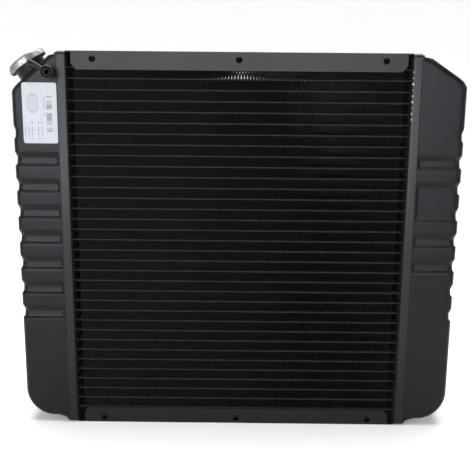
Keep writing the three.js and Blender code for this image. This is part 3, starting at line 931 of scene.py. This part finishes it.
def tank_shell(side, half_depth, rim_top, rim_bottom, edge):
    """Pressed tank, open to the core. Each level is a line from the rim along the front, round the edge,
    across the side and back. A face point sinks by the grooves there and by the edge round, which is a
    quarter circle of its distance to the nearest side, top or foot; the rim stays flat."""
    chamfer = CHAMFERS[side]
    z = tank_levels(edge)
    outline = reach_at(z, chamfer)
    reach = outline - sunk(z, ALL_GROOVES)
    lean = 1 / np.sqrt(1 + np.gradient(outline, z) ** 2)
    # the rim's own levels, above and below the pressed body
    above = [rim_top, rim_top - 2.2, TANK["top"] + 0.1]
    below = [TANK["bottom"] - 0.1, rim_bottom + 2, rim_bottom]
    z = np.concatenate([above, z, below])
    reach = np.concatenate([[TANK["step"], 238.6, 240.4], reach, [241.0, 238.6, TANK["step"]]])
    lean = np.concatenate([[1, 1, 1], lean, [1, 1, 1]])
    body = np.ones(len(z))
    body[:3] = body[-3:] = 0

    fixed = np.array([TANK["rim"], 232, 236.2, 237.6, 238.2, 238.9, 239.6, 240.4, 242, 244], float)
    distance = edge * (1 - np.cos(np.linspace(np.pi / 2, 0, 9)))
    flat_end = reach - edge / np.maximum(lean, 0.2)
    spread = fixed[-1] + (flat_end - fixed[-1])[:, None] * np.linspace(0, 1, 14)[None, 1:-1]
    last = reach[:, None] - distance[None] / np.maximum(lean, 0.2)[:, None]
    x = np.concatenate([np.broadcast_to(fixed, (len(z), len(fixed))), spread, last], 1)
    columns = x.shape[1]
    x = np.minimum(x, reach[:, None] - 0.01 * np.arange(columns - 1, -1, -1))
    x = np.maximum.accumulate(x, axis=1)

    inside = (reach[:, None] - x) * lean[:, None]
    inside = np.minimum(inside, np.minimum(TANK["top"] - z, z - TANK["bottom"])[:, None])
    short = edge - np.clip(inside, 0, edge)
    round_off = (edge - np.sqrt(edge**2 - short**2)) * eased_step(x, 237.5, 250) * body[:, None]
    faces = []
    for grooves in (FRONT_GROOVES[side], ALL_GROOVES):
        sink = sunk(z, grooves)[:, None] * eased_step(x, 237.9, 240.3)
        faces.append(half_depth - np.maximum(round_off, 0) - sink * np.clip(inside / 1.5, 0, 1))
    front = xyz(x, -faces[0], z[:, None])
    back = xyz(x, faces[1], z[:, None])[:, ::-1]
    t = np.linspace(0, 1, 15)[None, 1:-1, None]
    across = front[:, -1:] * (1 - t) + back[:, :1] * t
    grid = np.concatenate([front, across, back], 1)
    rows, columns = grid.shape[:2]
    points = grid.reshape(-1, 3)
    cells = quads(rows, columns)
    turned = outward(points, cells, (TANK["rim"], 0, 250))
    first, foot = np.arange(columns), np.arange(columns) + (rows - 1) * columns
    return points, turned, [first[::-1], foot] if turned is cells else [first, foot[::-1]]


def pierced(points, cells, middle, axis, radius, reach, cell):
    """Opens a round hole: cells whose middle is nearer the axis than the radius go, and corners left near
    its edge move straight out from the axis, or in to it, onto the edge."""
    def from_axis(at):
        offset = at - middle
        along = offset @ axis
        out = offset - along[:, None] * axis
        return along, out, np.linalg.norm(out, axis=1)

    along, _, away = from_axis(points[cells].mean(1))
    kept = cells[~((np.abs(along) < reach) & (away < radius))]
    along, out, away = from_axis(points)
    used = np.zeros(len(points), bool)
    used[kept.ravel()] = True
    moved = used & (np.abs(along) < reach) & (away < radius + 0.6 * cell) & (away > 0.1)
    points = points.copy()
    points[moved] += out[moved] * (radius / away[moved] - 1)[:, None]
    return points, kept


def pipe_axis(node):
    """Middle as x and z, both ends and outer radius of a hose pipe or the drain, from its box."""
    low, high = span(node)
    return (low[0] + high[0]) / 2, (low[2] + high[2]) / 2, low[1], high[1], (high[0] - low[0]) / 2


class RADIATOR_OT_tanks(bpy.types.Operator):
    """Ribbed side tanks"""

    bl_idname = "radiator.tanks"
    bl_label = "Tanks"

    def execute(self, context):
        s = sizes()
        back = np.array([0.0, 1, 0])
        for side, sign in (("right", 1), ("left", -1)):
            low, high = span(f"{side}_tank")
            points, cells, caps = tank_shell(side, high[1], high[2], low[2], s["edge_radius"])
            if side == "right":
                holes = [(node, *pipe_axis(node)) for node in ("inlet_pipe", "drain_body")]
            else:
                holes = [("outlet_pipe", *pipe_axis("outlet_pipe"))]
            for node, x, z, _, _, radius in holes:
                edge = 4.4 if node == "drain_body" else radius - HOSE_BEAD - 0.7
                centre = np.array([sign * x, high[1], DRAIN_Z if node == "drain_body" else z])
                points, cells = pierced(points, cells, centre, back, edge, 6, 4)
            if side == "left":
                axis = NECK_AXIS * (-1, 1, 1)
                points, cells = pierced(points, cells, NECK_BASE * (-1, 1, 1), axis, 20.3, 6, 4)
            shell = part(points, cells, caps)
            made = piece(
                f"{side}_tank_shell", [shell if sign > 0 else mirrored(shell)], finish("tank_paint"),
                nodes=[f"{side}_tank"], angle=50,
            )
            wall = made.modifiers.new("wall", "SOLIDIFY")
            wall.thickness = s["tank_wall"] * MM
            wall.offset = -1
        return {"FINISHED"}


# ---------- hose pipes ----------
def collar(place, radius, width, segments=64, lean=0.0):
    """Solder round a pipe: a hollow curve from the wall up the pipe, its width waving a little."""
    line = [
        (-0.6, -0.9), (width, -0.9), (width, 0.05), (0.52 * width, 0.2 * width), (0.2 * width, 0.52 * width),
        (0.05, width), (-0.6, width),
    ]

    def shape(r, height, angle):
        wave = 1 + 0.10 * np.sin(5 * angle + 1) + 0.07 * np.sin(11 * angle)
        return np.where(r > radius, radius + (r - radius) * wave, r + 0 * angle)

    profile = [(radius + a, b) for a, b in line]
    return lathe(profile, lambda x, y, z: place(x, y, z + lean * x), segments, shape=shape)


class RADIATOR_OT_hose_pipes(bpy.types.Operator):
    """Inlet and outlet pipes with their hose beads and solder"""

    bl_idname = "radiator.hose_pipes"
    bl_label = "Hose pipes"

    def execute(self, context):
        wall = span("right_tank")[1][1]
        for name in ("inlet", "outlet"):
            x, z, start, end, beaded = pipe_axis(f"{name}_pipe")
            radius = beaded - HOSE_BEAD
            bore = radius - SHEET
            along = np.linspace(0, 1, 11)
            swell = HOSE_BEAD * np.sin(np.pi * along) ** 2
            profile = np.concatenate([
                [(bore, start), (radius, start)],
                np.stack([radius + swell, end - 10.5 + 5 * along], -1),
                [(radius, end - 0.5), (radius - 0.4, end), (bore + 0.4, end), (bore, end - 0.6)],
                [(bore, end - 5), (bore, end - 10), (bore, wall + 6)],
            ])
            place = backward(x, z)
            piece(f"{name}_hose_pipe", [lathe(profile, place, 72)], finish("paint"), nodes=[f"{name}_pipe"])
            ring = collar(backward(x, z, wall), radius, sizes()["solder"], 72)
            piece(f"{name}_solder", [ring], finish("paint"), angle=60)
        return {"FINISHED"}


# ---------- filler neck ----------
NECK = {"bore": 19.5, "body": 21.0, "flange": 22.9, "rim": 19.5, "under": 17.5, "foot": -8.0, "seat": 14.5}
OVERFLOW_PATH = [
    (-274, -19.1, 495.6), (-271.8, -29, 497.2), (-269.3, -40.6, 498.6), (-265, -45, 497.5),
    (-257, -46, 492.6), (-248.5, -47.5, 488.2), (-244.5, -51.5, 486.8), (-244.5, -54, 486.8),
]


def notched(radius, height, angle):
    """Draws the neck's flange in where the cap's tabs pass."""
    across = np.abs(np.sin(angle)) * NECK["flange"]
    notch = 1 - eased_step(across, 8.9, 9.7)
    drawn_in = radius + (NECK["body"] + 0.3 - radius) * notch
    return np.where(radius > NECK["body"] + 0.35, drawn_in, radius + 0 * angle)


class RADIATOR_OT_filler_neck(bpy.types.Operator):
    """Filler neck and overflow tube"""

    bl_idname = "radiator.filler_neck"
    bl_label = "Filler neck"

    def execute(self, context):
        bore, body, flange, rim, under, foot, seat = NECK.values()
        profile = eased([
            (bore, foot), (body, foot), (body, under), (flange, under - 0.6), (flange + 0.1, under + 0.2),
            (flange, rim - 0.3), (flange - 0.8, rim), (bore + 0.3, rim), (bore, rim - 0.5), (bore, 1.5),
            (seat + 0.6, 1.5), (seat, 1.1), (seat, 0), (bore, 0),
        ], 0.35)
        neck = lathe(profile, on_neck, 144, shape=notched)
        piece("neck_cup", [neck], finish("neck_paint"), nodes=["filler_neck"], angle=40)
        ring = collar(on_neck, body, sizes()["solder"], 96, CHAMFER_LEAN)
        piece("neck_solder", [ring], finish("neck_paint"), angle=60)
        path = smooth_path(OVERFLOW_PATH, 8)
        path = path[path[:, 1] > -52.2]
        arm = tube(path, 4.0, 2.8, 24)
        # the tube's own end stands inside a rolled lip, with a dark gap between the two
        lip = eased([
            (2.8, 50.8), (4.3, 50.8), (7.2, 52.2), (8.6, 53.4), (8.7, 54.8), (8.0, 56.1), (7.1, 55.9),
            (6.5, 54.4), (5.3, 53.4), (4.9, 54.8), (4.4, 55.5), (3.6, 55.2), (2.9, 54.0),
        ], 0.4)
        end_x, _, end_z = OVERFLOW_PATH[-1]
        mouth = lathe(lip, forward(end_x, end_z), 48)
        piece("overflow_pipe", [arm], finish("neck_paint"), nodes=["overflow_tube"], angle=50)
        piece("overflow_lip", [mouth], finish("paint"), angle=50)
        return {"FINISHED"}


# ---------- pressure cap ----------
def band(inner, outer, bottom, top):
    """Section of a flat ring, as radius and height."""
    return [(inner, bottom), (outer, bottom), (outer, top), (inner, top)]


def ring_block(inner, outer, bottom, top, middle, half):
    """Short block bent round the neck's axis: its section carried through an angle."""
    angle = middle + np.linspace(-half, half, 9)
    radius, height = eased(band(inner, outer, bottom, top), 0.3).T
    rows = [on_neck(radius * np.cos(a), radius * np.sin(a), height) for a in angle]
    return loft(rows)


def eared(radius, height, angle):
    """Carries the skirt out into two ears for the hand, wide at the foot and gone at the crown."""
    ear = 1 - eased_step(np.abs(np.sin(angle)), 0.25, 0.42)
    ear = ear * (1 - eased_step(height, 19.6, 21.6))
    return radius + np.where(radius > 23.5, 2.35, 0) * ear


CAP_PARTS = {
    # name: (node, body, slot, finish, radius and height of the section's corners)
    "gasket_ring": ("cap_gasket", "cap_core", "seal_rubber", "rubber", band(14, 22.4, 19.8, 20.9)),
    "diaphragm_disc": ("cap_diaphragm", "cap_core", "spring_steel", "steel", band(3.4, 22.6, 21.2, 21.8)),
    "relief_bell": ("relief_valve", "relief_piston", "bare_brass", "brass", [
        (2.2, 4.1), (18, 4.1), (18, 5.1), (8, 5.1), (8, 14.5), (3.4, 14.5), (3.4, 13.5), (7, 13.5), (7, 5.1),
        (2.2, 5.1),
    ]),
    "relief_ring": ("relief_seal", "relief_piston", "seal_rubber", "rubber", band(14.9, 18.2, 1.8, 3.8)),
}
SPRING = {"turns": 4.5, "radius": 11.5, "wire": 0.9, "bottom": 6.5, "top": 18.4}


class RADIATOR_OT_pressure_cap(bpy.types.Operator):
    """Pressure cap with its relief and vent valves"""

    bl_idname = "radiator.pressure_cap"
    bl_label = "Pressure cap"

    def execute(self, context):
        crown = [
            (3.3, 22.2), (3.3, 23.1), (8.4, 23.1), (9.4, 22.5), (15.2, 22.5), (16.4, 23.1), (22.6, 23.1),
            (24.2, 22.6), (25, 21.2), (25, 14.4), (25, 13.2), (24, 13.2), (24, 14.4), (24, 21.1),
            (23.2, 22.05), (16.2, 22.2), (15.2, 21.95), (9.4, 21.95), (8.4, 22.2),
        ]
        shell = lathe(eased(crown, 0.4), on_neck, 128, shape=eared)
        tabs = [ring_block(21.6, 24.4, 15.6, 17.0, middle, 0.30) for middle in (0, np.pi)]
        shown = {"nodes": ["cap_shell"], "slot_name": "cap_chrome", "body": "cap_cover"}
        piece("cap_cover_plate", [shell, *tabs], finish("plating"), angle=40, **shown)
        for name, (node, body, slot_name, look, section) in CAP_PARTS.items():
            ring = lathe(eased(section, 0.2), on_neck, 72)
            piece(name, [ring], finish(look), body, [node], slot_name)
        rivet = [
            (0, 11.7), (5.5, 11.7), (5.5, 12.7), (3, 12.7), (3, 23.4), (6, 23.4), (6, 24.0), (5.2, 24.6),
            (3, 24.8), (0, 24.8),
        ]
        vent = [(0, 2.6), (7, 2.6), (7, 3.8), (1.5, 3.8), (1.5, 7.5), (3.6, 7.5), (3.6, 8.3), (0, 8.3)]
        for name, node, body, slot_name, look, line in (
            ("cap_centre_rivet", "cap_rivet", "cap_core", "cap_chrome", "plating", rivet),
            ("vent_plug", "vent_valve", "vent_plunger", "bare_brass", "brass", vent),
        ):
            solid = lathe(eased(line, 0.2, closed=False), on_neck, 48, closed=False)
            piece(name, [solid], finish(look), body, [node], slot_name)
        s = SPRING
        t = np.linspace(0, 1, 181)
        turn = t * s["turns"] * TURN
        rise = s["bottom"] + (s["top"] - s["bottom"]) * t
        path = on_neck(s["radius"] * np.cos(turn), s["radius"] * np.sin(turn), rise)
        wire = tube(path, s["wire"], 0.02, 10, NECK_AXIS)
        spring = piece(
            "relief_coil", [wire], finish("steel"), "cap_core", ["relief_spring"], "spring_steel", angle=60
        )
        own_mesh(spring)
        return {"FINISHED"}


# ---------- drain cock ----------
class RADIATOR_OT_drain_cock(bpy.types.Operator):
    """Drain cock with its washer and wing screw"""

    bl_idname = "radiator.drain_cock"
    bl_label = "Drain cock"

    def execute(self, context):
        place = backward(DRAIN_X, DRAIN_Z)
        barrel = lathe(eased([
            (3.5, 32), (5, 32), (5, 37.4), (6, 37.4), (6, 51.4), (5.5, 52), (3.5, 52),
        ], 0.3), place, 40)
        hexagon = lathe(eased([
            (3.6, 37.4), (7.4, 37.4), (8, 38.0), (8, 41.4), (7.4, 42), (3.6, 42),
        ], 0.15), place, 6)
        spout = lathe(eased([
            (1.9, 4.5), (3.2, 4.5), (3.2, 14.1), (2.9, 14.5), (1.9, 14.5),
        ], 0.2), downward(DRAIN_X, 47, DRAIN_Z), 28)
        barrels = [barrel, hexagon, spout]
        piece("drain_barrel", barrels, finish("brass"), nodes=["drain_body"], slot_name="bare_brass")
        washer = lathe(eased(band(5.4, 8, 36, 37.1), 0.35), place, 40)
        piece("drain_seal", [washer], finish("rubber"), nodes=["drain_washer"], slot_name="seal_rubber")
        stem = lathe(eased([
            (0, 38), (3.1, 40), (3.1, 53), (4.5, 53), (4.5, 55.6), (4.1, 56), (0, 56),
        ], 0.25, closed=False), place, 32, closed=False)
        across, out = eased([
            (10.6, 1.0), (10.6, 7.2), (8.4, 8.0), (4.6, 7.4), (2.4, 4.2), (-2.4, 4.2), (-4.6, 7.4),
            (-8.4, 8.0), (-10.6, 7.2), (-10.6, 1.0), (-5.5, 0.0), (5.5, 0.0),
        ], 1.4, 4).T
        wing = loft([
            xyz(DRAIN_X + across * scale, 58 + (out - 4) * scale, DRAIN_Z + rise)
            for rise, scale in ((-1.6, 0.93), (-1.2, 1.0), (1.2, 1.0), (1.6, 0.93))
        ])
        screw = [stem, wing]
        piece("drain_wing_screw", screw, finish("brass"), "drain_spindle", ["drain_screw"], "bare_brass")
        return {"FINISHED"}


# ---------- label ----------
class RADIATOR_OT_label(bpy.types.Operator):
    """Paper label on the left tank"""

    bl_idname = "radiator.label"
    bl_label = "Label"

    def execute(self, context):
        low, high = span("label")
        middle, half = (low + high) / 2, (high - low) / 2
        rings = []
        for y, inset in ((high[1] + 0.25, 0.0), (low[1] + 0.05, 0.0), (low[1], 0.08)):
            ring = rounded_rectangle(half[0] - inset, half[2] - inset, 3.0, 7)
            rings.append(xyz(middle[0] + ring[:, 0], y, middle[2] + ring[:, 1]))
        piece("paper_label", [loft(rings)], finish("paper"), nodes=["label"], slot_name="label_paper")
        return {"FINISHED"}


# ---------- stage ----------
LAMPS = {
    # name: (tint, width and height, place, rotation)
    "front_lamp": ((0.90, 0.95, 1.0), (3.0, 1.3), (-0.5, -2.3, 0.71), (1.55, 0, -0.2)),
    "top_lamp": ((1.0, 0.99, 0.98), (1.9, 1.9), (0, 0.45, 2.1), (-0.08, 0, 0)),
}
CAMERA_PLACE = (0.0023, -1.0125, 0.4761)
CAMERA_ANGLES = (0.524, 90 - 11.762, 0.254)  # roll, pitch and heading in degrees


class RADIATOR_OT_stage(bpy.types.Operator):
    """Pale floor and backdrop, soft lamps and the camera"""

    bl_idname = "radiator.stage"
    bl_label = "Stage"

    def execute(self, context):
        studio = context.scene.radiator_studio
        # a round floor whose rim curves up into the backdrop on every side
        turn = np.linspace(0, np.pi / 2, 14)
        line = np.concatenate([
            [(0.01, 0.0)], np.stack([2.2 + 1.4 * np.sin(turn), 1.4 * (1 - np.cos(turn))], -1), [(3.6, 2.6)],
        ])
        way = np.linspace(0, TURN, 96, endpoint=False)
        reach, height = line.T[:, :, None]
        points = xyz(reach * np.cos(way), reach * np.sin(way), height).reshape(-1, 3)
        mesh = bpy.data.meshes.new("floor")
        mesh.from_pydata(points.tolist(), [], quads(len(line), len(way), around=True).tolist())
        mesh.polygons.foreach_set("use_smooth", np.ones(len(mesh.polygons), bool))
        g = Graph("floor", Specular_IOR_Level=0.1)
        grain = g.noise(g.place(), 3, 3)
        pale = g.blend(grain, studio.floor, toned(studio.floor, 0.985))
        mesh.materials.append(g.finish(Base_Color=pale, Roughness=0.85 + 0.05 * grain))
        floor = bpy.data.objects.new("floor", mesh)
        context.scene.collection.objects.link(floor)
        for name, (tint, size, where, facing) in LAMPS.items():
            lamp = bpy.data.lights.new(name, "AREA")
            lamp.shape = "RECTANGLE"
            lamp.size, lamp.size_y = size
            lamp.energy = getattr(studio, name)
            lamp.color = tint
            holder = bpy.data.objects.new(name, lamp)
            holder.location = where
            holder.rotation_euler = Euler(facing)
            holder.visible_camera = False
            context.scene.collection.objects.link(holder)
        world = bpy.data.worlds.new("studio")
        world.use_nodes = True
        light = world.node_tree.nodes["Background"]
        light.inputs[0].default_value = (1, 1, 1, 1)
        light.inputs[1].default_value = studio.sky
        context.scene.world = world
        camera = bpy.data.cameras.new("camera")
        camera.lens = studio.lens
        camera.sensor_width = 36
        holder = bpy.data.objects.new("camera", camera)
        holder.location = CAMERA_PLACE
        roll, pitch, heading = np.radians(CAMERA_ANGLES)
        # rolled about its own line of sight first, then raised from looking down, then turned
        turns = [Euler(angles).to_matrix() for angles in ((0, 0, heading), (pitch, 0, 0), (0, 0, roll))]
        holder.rotation_euler = (turns[0] @ turns[1] @ turns[2]).to_euler()
        context.scene.collection.objects.link(holder)
        context.scene.camera = holder
        context.scene.view_settings.view_transform = "Standard"
        return {"FINISHED"}


OPERATORS = [
    RADIATOR_OT_stage, RADIATOR_OT_tubes, RADIATOR_OT_fins, RADIATOR_OT_channels, RADIATOR_OT_headers,
    RADIATOR_OT_tanks, RADIATOR_OT_hose_pipes, RADIATOR_OT_filler_neck, RADIATOR_OT_pressure_cap,
    RADIATOR_OT_drain_cock, RADIATOR_OT_label,
]
GROUPS = {
    "radiator_sizes": RadiatorSizes,
    "radiator_colours": RadiatorColours,
    "radiator_studio": RadiatorStudio,
}


class VIEW3D_PT_radiator(bpy.types.Panel):
    """Sizes, colours and the steps that make the radiator"""

    bl_label = "Radiator"
    bl_space_type = "VIEW_3D"
    bl_region_type = "UI"
    bl_category = "Radiator"

    def draw(self, context):
        for name, group in GROUPS.items():
            box = self.layout.box()
            for held in group.__annotations__:
                box.prop(getattr(context.scene, name), held)
        for operator in OPERATORS:
            self.layout.operator(operator.bl_idname)


def register():
    """Adds the classes and the scene's properties."""
    for made in (*GROUPS.values(), *OPERATORS, VIEW3D_PT_radiator):
        bpy.utils.register_class(made)
    for name, group in GROUPS.items():
        setattr(bpy.types.Scene, name, PointerProperty(type=group))


def unregister():
    """Takes the scene's properties and the classes away."""
    for name in GROUPS:
        delattr(bpy.types.Scene, name)
    for made in reversed((*GROUPS.values(), *OPERATORS, VIEW3D_PT_radiator)):
        bpy.utils.unregister_class(made)


def main():
    """Runs every step in order."""
    register()
    for operator in OPERATORS:
        group, name = operator.bl_idname.split(".")
        getattr(getattr(bpy.ops, group), name)()


if __name__ == "__main__":
    main()
